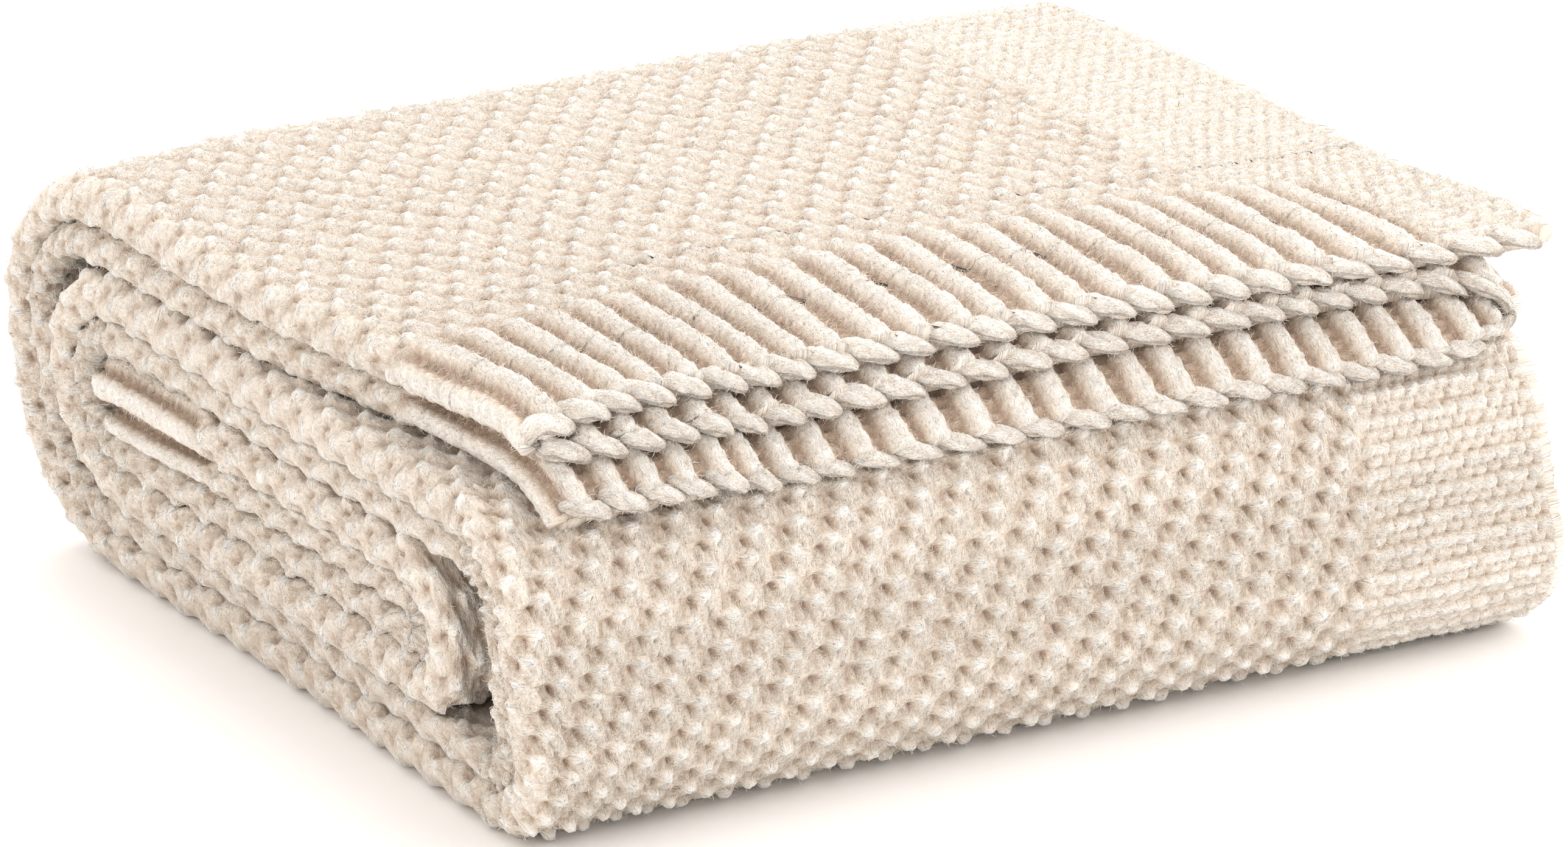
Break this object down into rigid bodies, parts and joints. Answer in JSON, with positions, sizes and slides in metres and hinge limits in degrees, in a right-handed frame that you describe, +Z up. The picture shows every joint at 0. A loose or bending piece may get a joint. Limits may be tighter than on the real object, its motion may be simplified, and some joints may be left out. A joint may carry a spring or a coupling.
{
  "type": "folded throw blanket",
  "caption": "Chunky knitted throw with ribbed cuffs and plain borders, folded into a thick rectangular bundle whose top flap and cuff lift.",
  "frame": {"origin": "middle of the bundle's footprint, on the surface it rests on", "axes": "+X along the folded front edge from the left folds to the right edge, +Y from the front face to the back fold, +Z up"},
  "size_m": [0.41, 0.3716, 0.1506],
  "materials": {
    "yarn": "soft matt brushed knit"
  },
  "bodies": {
    "bundle": {"back_fold_high_ply_1": "yarn", "back_fold_high_ply_2": "yarn", "back_fold_high_ply_3": "yarn", "back_fold_high_ply_4": "yarn", "back_fold_low_ply_1": "yarn", "back_fold_low_ply_2": "yarn", "back_fold_low_ply_3": "yarn", "back_fold_low_ply_4": "yarn", "bottom_turn_ply_1": "yarn", "bottom_turn_ply_2": "yarn", "bottom_turn_ply_3": "yarn", "bottom_turn_ply_4": "yarn", "core_cuff_ply_1": "yarn", "core_cuff_ply_2": "yarn", "core_cuff_ply_3": "yarn", "core_cuff_ply_4": "yarn", "core_ply_1": "yarn", "core_ply_2": "yarn", "core_ply_3": "yarn", "core_ply_4": "yarn", "front_fold_high_ply_1": "yarn", "front_fold_high_ply_2": "yarn", "front_fold_high_ply_3": "yarn", "front_fold_high_ply_4": "yarn", "front_fold_low_ply_1": "yarn", "front_fold_low_ply_2": "yarn", "front_fold_low_ply_3": "yarn", "front_fold_low_ply_4": "yarn", "inner_back_fold_high_ply_1": "yarn", "inner_back_fold_high_ply_2": "yarn", "inner_back_fold_high_ply_3": "yarn", "inner_back_fold_high_ply_4": "yarn", "inner_back_fold_low_ply_1": "yarn", "inner_back_fold_low_ply_2": "yarn", "inner_back_fold_low_ply_3": "yarn", "inner_back_fold_low_ply_4": "yarn", "inner_front_fold_ply_1": "yarn", "inner_front_fold_ply_2": "yarn", "inner_front_fold_ply_3": "yarn", "inner_front_fold_ply_4": "yarn", "lower_turn_ply_1": "yarn", "lower_turn_ply_2": "yarn", "lower_turn_ply_3": "yarn", "lower_turn_ply_4": "yarn", "upper_turn_ply_1": "yarn", "upper_turn_ply_2": "yarn", "upper_turn_ply_3": "yarn", "upper_turn_ply_4": "yarn"},
    "flap": {"flap_crease_ply_1": "yarn", "flap_crease_ply_2": "yarn", "flap_crease_ply_3": "yarn", "flap_crease_ply_4": "yarn", "top_flap_ply_1": "yarn", "top_flap_ply_2": "yarn", "top_flap_ply_3": "yarn", "top_flap_ply_4": "yarn"},
    "cuff": {"flap_cuff_ply_1": "yarn", "flap_cuff_ply_2": "yarn", "flap_cuff_ply_3": "yarn", "flap_cuff_ply_4": "yarn"}
  },
  "joints": [
    {"name": "flap_lift", "type": "hinge", "parent": "bundle", "child": "flap", "pos_m": [0, 0.1696, 0.1344], "axis": [-1, 0, 0], "range_deg": [0, 90]},
    {"name": "cuff_lift", "type": "hinge", "parent": "flap", "child": "cuff", "pos_m": [0, -0.0936, 0.1508], "axis": [-1, 0, 0], "range_deg": [0, 80]}
  ]
}
